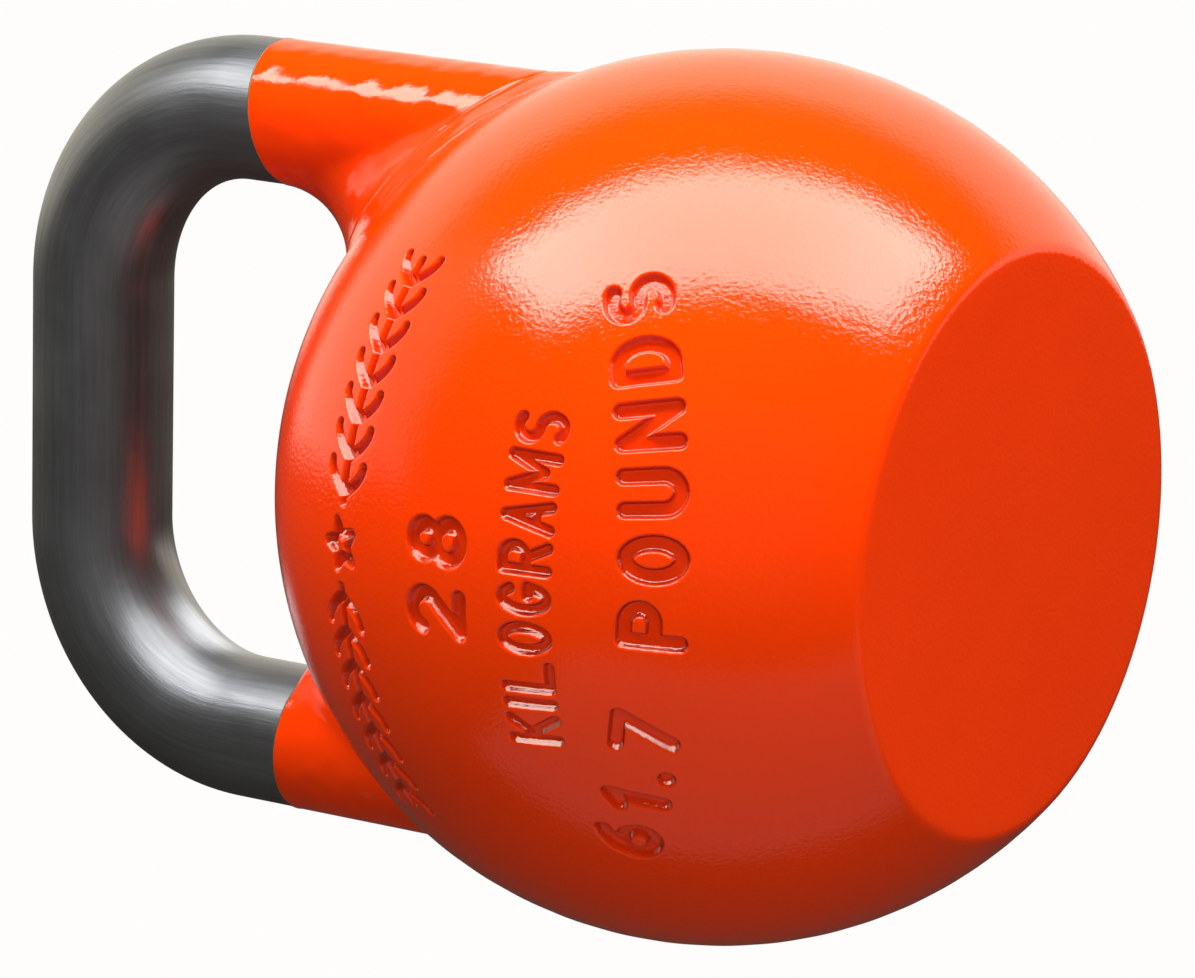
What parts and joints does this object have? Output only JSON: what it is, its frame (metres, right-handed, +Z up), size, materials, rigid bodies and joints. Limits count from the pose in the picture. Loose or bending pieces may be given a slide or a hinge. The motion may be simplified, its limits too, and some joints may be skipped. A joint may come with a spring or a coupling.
{
  "type": "kettlebell",
  "caption": "Competition-style kettlebell: a large hollow steel ball with a flat base, flared horns and a rounded bare steel grip bar, ballasted to a set weight.",
  "frame": {"origin": "centre of the flat base, on the surface it stands on", "axes": "+Z up through the ball's centre and the middle of the grip; +X along the grip, from the left horn to the right horn; the marked front of the ball faces -Y"},
  "size_m": [0.21, 0.21, 0.28],
  "materials": {
    "paint": "gloss",
    "bare_steel": "satin",
    "ballast": "matte"
  },
  "bodies": {
    "root": {"ball_shell": "paint", "left_horn": "paint", "right_horn": "paint", "left_foot_weld": "paint", "right_foot_weld": "paint", "grip_bar": "bare_steel", "left_bar_weld": "bare_steel", "right_bar_weld": "bare_steel", "base_plug": "paint", "plug_weld": "paint", "ballast": "ballast"}
  },
  "joints": []
}
